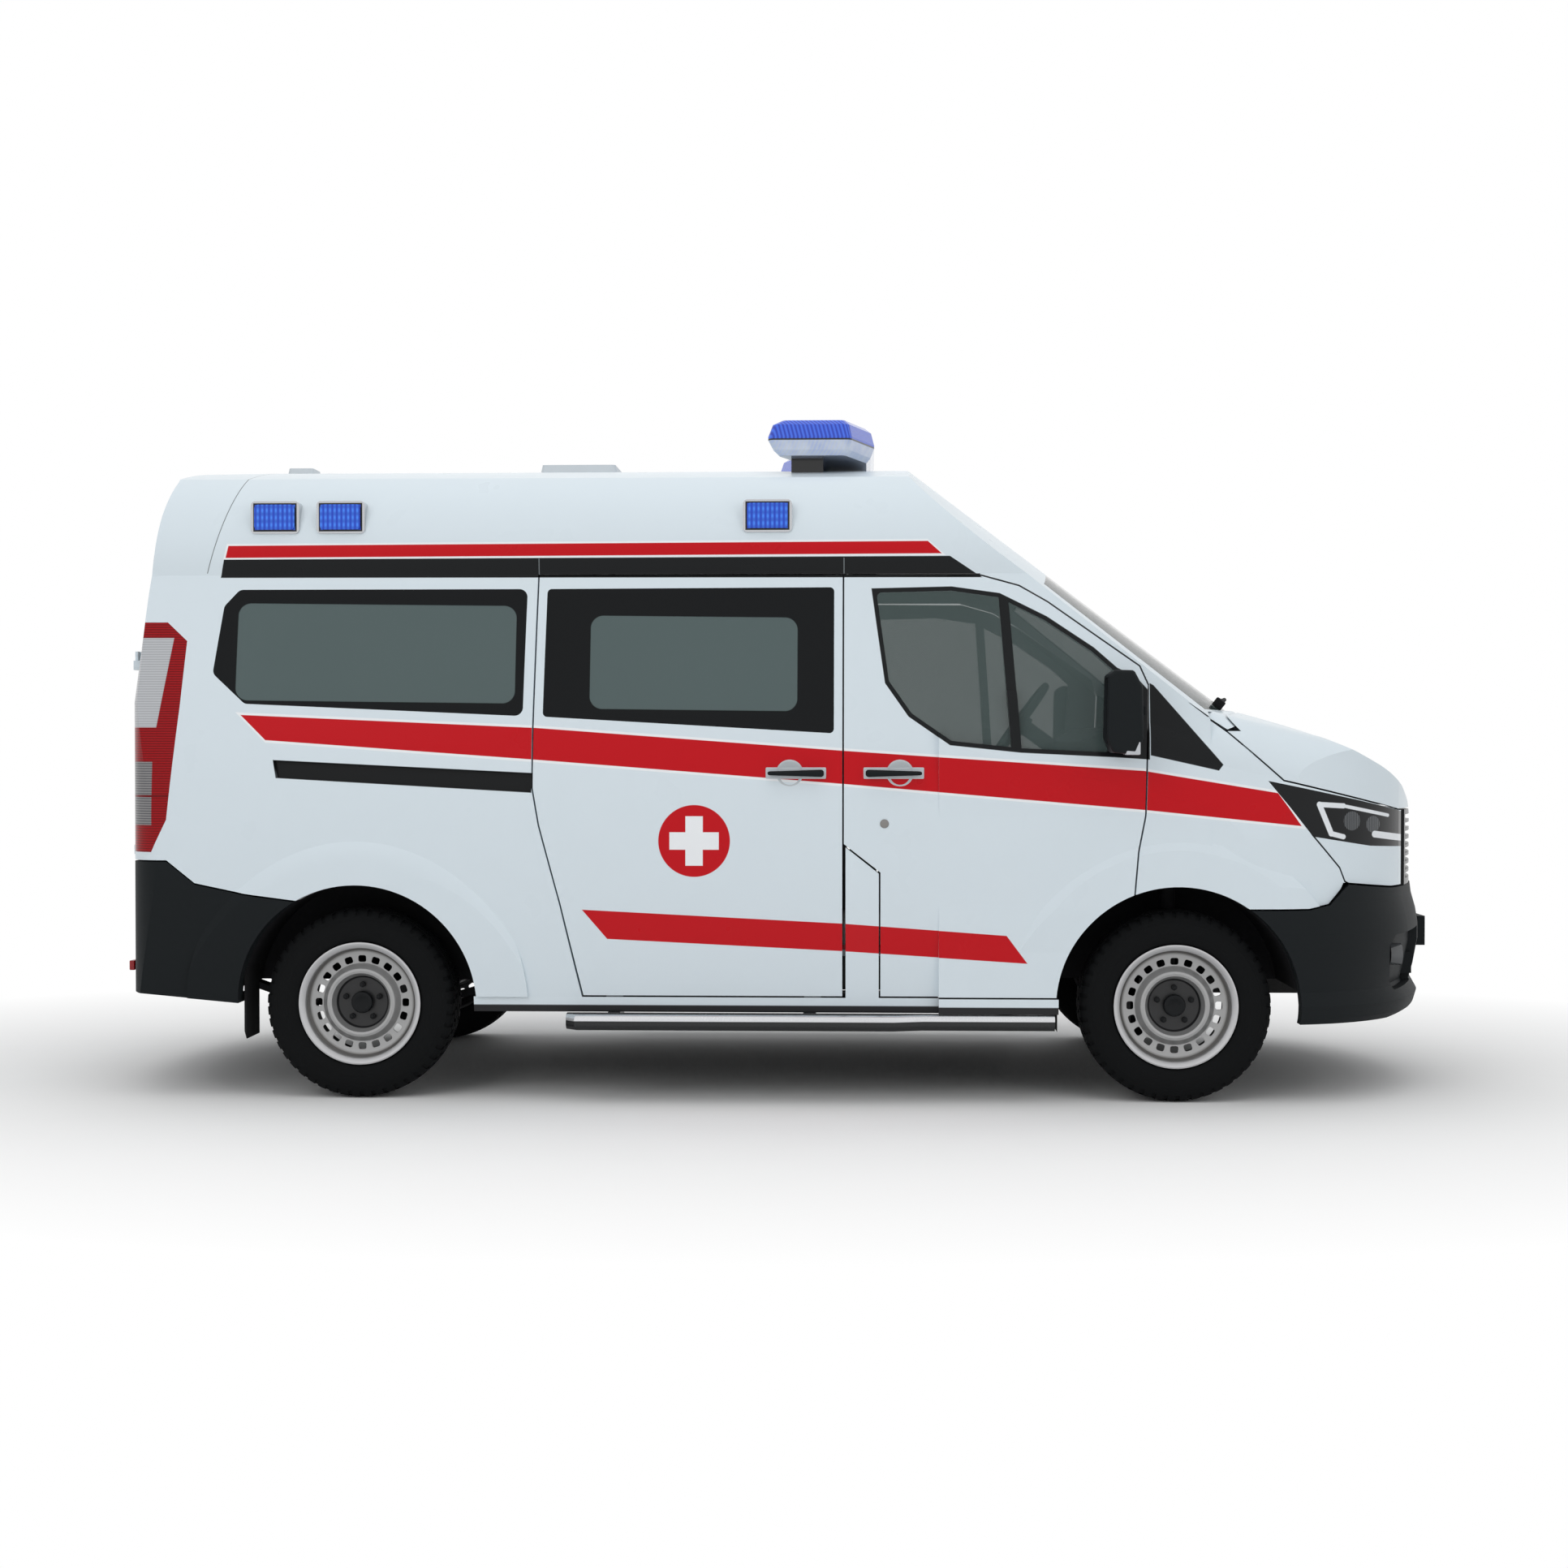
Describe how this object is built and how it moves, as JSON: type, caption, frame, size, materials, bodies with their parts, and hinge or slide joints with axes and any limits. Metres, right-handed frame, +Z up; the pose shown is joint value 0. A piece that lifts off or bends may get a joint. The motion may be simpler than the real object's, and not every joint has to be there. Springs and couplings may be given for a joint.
{
  "type": "ambulance",
  "caption": "High-roof ambulance van with opening cab doors, rear doors and bonnet, steered front wheels, blue roof light bar and red stripes.",
  "frame": {"origin": "on the ground, in the middle of the vehicle's length and width", "axes": "+X forward, +Y to the vehicle's left, +Z up"},
  "size_m": [4.973, 2.3, 2.4879],
  "materials": {
    "body_paint": "gloss",
    "glass_tint": "polished",
    "black_plastic": "satin",
    "chassis": "matte",
    "wheel_silver": "satin",
    "tyre": "matte",
    "lamp_clear": "gloss",
    "lamp_red": "gloss",
    "lamp_blue": "gloss",
    "interior": "matte",
    "seat_fabric": "matte",
    "step_silver": "satin",
    "cast": "matte",
    "steel": "satin",
    "rubber": "matte"
  },
  "bodies": {
    "body": {"bulkhead": "body_paint", "cabinet": "interior", "crew_bench": "interior", "dashboard": "interior", "engine_block": "cast", "exhaust": "steel", "floor_pan": "chassis", "fog_lamps": "lamp_clear", "front_bumper": "black_plastic", "front_fascia": "body_paint", "front_fenders": "body_paint", "front_frame": "body_paint", "front_subframe": "chassis", "fuel_tank": "chassis", "grille": "black_plastic", "headlamps": "lamp_clear", "high_roof": "body_paint", "light_bar": "lamp_blue", "mattress": "seat_fabric", "mud_flaps": "rubber", "rear_axle": "chassis", "rear_bumper": "black_plastic", "rear_quarter_right": "body_paint", "roof_vents": "black_plastic", "seats": "seat_fabric", "side_glass": "glass_tint", "side_steps": "step_silver", "side_wall_left": "body_paint", "sliding_door": "body_paint", "stretcher_frame": "step_silver", "tail_lamps": "lamp_red", "warning_lamps": "lamp_blue", "wheel_housings": "chassis", "windscreen": "glass_tint"},
    "bonnet": {"bonnet": "body_paint"},
    "front_door_left": {"door_glass_left": "glass_tint", "door_mirror_left": "black_plastic", "front_door_left": "body_paint"},
    "front_door_right": {"door_glass_right": "glass_tint", "door_mirror_right": "black_plastic", "front_door_right": "body_paint"},
    "knuckle_left": {"knuckle_left": "cast"},
    "knuckle_right": {"knuckle_right": "cast"},
    "rear_door_left": {"rear_door_left": "body_paint", "rear_glass_left": "glass_tint"},
    "rear_door_right": {"rear_door_right": "body_paint", "rear_glass_right": "glass_tint"},
    "wheel_front_left": {"rim_front_left": "wheel_silver", "tyre_front_left": "tyre"},
    "wheel_front_right": {"rim_front_right": "wheel_silver", "tyre_front_right": "tyre"},
    "wheel_rear_left": {"rim_rear_left": "wheel_silver", "tyre_rear_left": "tyre"},
    "wheel_rear_right": {"rim_rear_right": "wheel_silver", "tyre_rear_right": "tyre"},
    "steering_wheel": {"steering_wheel": "interior"}
  },
  "joints": [
    {"name": "front_door_right", "type": "hinge", "parent": "body", "child": "front_door_right", "pos_m": [1.347, -1.01, 1], "axis": [0, 0, 1], "range_deg": [0, 70]},
    {"name": "rear_door_right", "type": "hinge", "parent": "body", "child": "rear_door_right", "pos_m": [-2.328, -0.814, 1.2], "axis": [0, 0, 1], "range_deg": [0, 180]},
    {"name": "steer_right", "type": "hinge", "parent": "body", "child": "knuckle_right", "pos_m": [1.4465, -0.68, 0.343], "axis": [0, 0, 1], "range_deg": [-35, 35]},
    {"name": "wheel_front_right", "type": "hinge", "parent": "knuckle_right", "child": "wheel_front_right", "pos_m": [1.4465, -0.83, 0.343], "axis": [0, 1, 0], "continuous": true},
    {"name": "wheel_rear_right", "type": "hinge", "parent": "body", "child": "wheel_rear_right", "pos_m": [-1.4865, -0.83, 0.343], "axis": [0, 1, 0], "continuous": true},
    {"name": "front_door_left", "type": "hinge", "parent": "body", "child": "front_door_left", "pos_m": [1.347, 1.01, 1], "axis": [0, 0, -1], "range_deg": [0, 70]},
    {"name": "rear_door_left", "type": "hinge", "parent": "body", "child": "rear_door_left", "pos_m": [-2.328, 0.814, 1.2], "axis": [0, 0, -1], "range_deg": [0, 180]},
    {"name": "steer_left", "type": "hinge", "parent": "body", "child": "knuckle_left", "pos_m": [1.4465, 0.68, 0.343], "axis": [0, 0, 1], "range_deg": [-35, 35]},
    {"name": "wheel_front_left", "type": "hinge", "parent": "knuckle_left", "child": "wheel_front_left", "pos_m": [1.4465, 0.83, 0.343], "axis": [0, 1, 0], "continuous": true},
    {"name": "wheel_rear_left", "type": "hinge", "parent": "body", "child": "wheel_rear_left", "pos_m": [-1.4865, 0.83, 0.343], "axis": [0, 1, 0], "continuous": true},
    {"name": "bonnet", "type": "hinge", "parent": "body", "child": "bonnet", "pos_m": [1.622, 0, 1.385], "axis": [0, -1, 0], "range_deg": [0, 55]},
    {"name": "steering_wheel", "type": "hinge", "parent": "body", "child": "steering_wheel", "pos_m": [0.975, 0.42, 1.37], "axis": [-0.809, 0, 0.5878], "range_deg": [-540, 540]}
  ],
  "couplings": [
    {"joint": "steer_left", "follows": "steer_right", "ratio": 1},
    {"joint": "steering_wheel", "follows": "steer_right", "ratio": 15}
  ]
}
